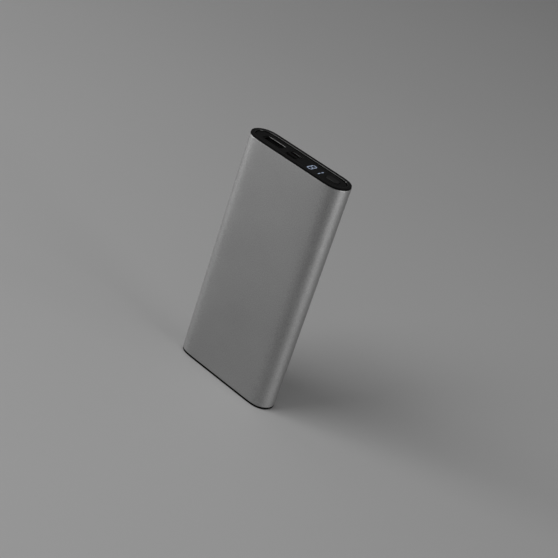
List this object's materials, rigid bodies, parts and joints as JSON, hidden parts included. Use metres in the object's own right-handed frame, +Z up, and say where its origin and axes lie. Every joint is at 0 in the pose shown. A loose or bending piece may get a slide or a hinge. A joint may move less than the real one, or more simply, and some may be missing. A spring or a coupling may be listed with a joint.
{
  "type": "power bank",
  "caption": "Slim grey aluminium power bank with round-sided tube, black end caps, USB-A, USB-C and micro-USB sockets, lit digit display and a pill-shaped push button.",
  "frame": {"origin": "centre of the lower cover's flat end, on the surface the bank stands on", "axes": "+Z up along the length towards the sockets, +X along the width, -Y the front broad face that the picture shows"},
  "size_m": [0.068, 0.017, 0.1388],
  "materials": {
    "anodised_aluminium": "bead-blasted, anodised grey",
    "cap_plastic": "satin black",
    "fascia_plastic": "satin black",
    "button_plastic": "satin black",
    "smoked_window": "smoked, near black",
    "port_steel": "nickel-plated",
    "insulator": "black",
    "contact_gold": "gold-plated",
    "display_plastic": "black",
    "diffuser": "milk white",
    "foam": "open-cell black foam",
    "adhesive": "adhesive film",
    "switch_plastic": "black",
    "plunger_plastic": "black",
    "board": "green solder mask",
    "ferrite": "sintered, dark grey",
    "chip": "epoxy",
    "ceramic": "ceramic tan",
    "capacitor_can": "drawn can",
    "insulation_film": "amber film",
    "tray_plastic": "dark grey moulding",
    "pouch_foil": "laminated foil",
    "nickel": "nickel",
    "red_wire": "red insulation",
    "black_wire": "black insulation",
    "frame_plastic": "dark grey moulding",
    "screw_steel": "zinc-plated"
  },
  "bodies": {
    "case": {"tube_shell": "anodised_aluminium", "top_bezel": "cap_plastic", "bottom_cover": "cap_plastic", "fascia_panel": "fascia_plastic", "fascia_tape": "adhesive", "display_window": "smoked_window", "display_gasket": "foam", "display_housing": "display_plastic", "segment_diffuser": "diffuser", "switch_body": "switch_plastic", "usb_a_shell": "port_steel", "usb_a_insulator": "insulator", "usb_a_contact_1": "contact_gold", "usb_a_contact_2": "contact_gold", "usb_a_contact_3": "contact_gold", "usb_a_contact_4": "contact_gold", "usb_c_shell": "port_steel", "usb_c_insulator": "insulator", "micro_usb_shell": "port_steel", "micro_usb_insulator": "insulator", "main_board": "board", "inductor": "ferrite", "controller_chip": "chip", "mosfet_1": "chip", "mosfet_2": "chip", "bulk_capacitor": "capacitor_can", "ceramic_capacitor_1": "ceramic", "ceramic_capacitor_2": "ceramic", "insulation_sheet": "insulation_film", "inner_tray": "tray_plastic", "cell_front": "pouch_foil", "cell_rear": "pouch_foil", "cell_tape": "adhesive", "front_foam_pad": "foam", "rear_foam_pad": "foam", "positive_strip": "nickel", "negative_strip": "nickel", "positive_lead": "red_wire", "negative_lead": "black_wire", "bottom_frame": "frame_plastic", "bezel_screw_left": "screw_steel", "bezel_screw_right": "screw_steel", "frame_screw_left": "screw_steel", "frame_screw_right": "screw_steel"},
    "button": {"power_button": "button_plastic", "switch_plunger": "plunger_plastic"}
  },
  "joints": [
    {"name": "button_press", "type": "slide", "parent": "case", "child": "button", "axis": [0, 0, -1], "range_m": [0, 0.0003], "stiffness_N_per_m": 3000, "springref_m": -0.0002}
  ]
}
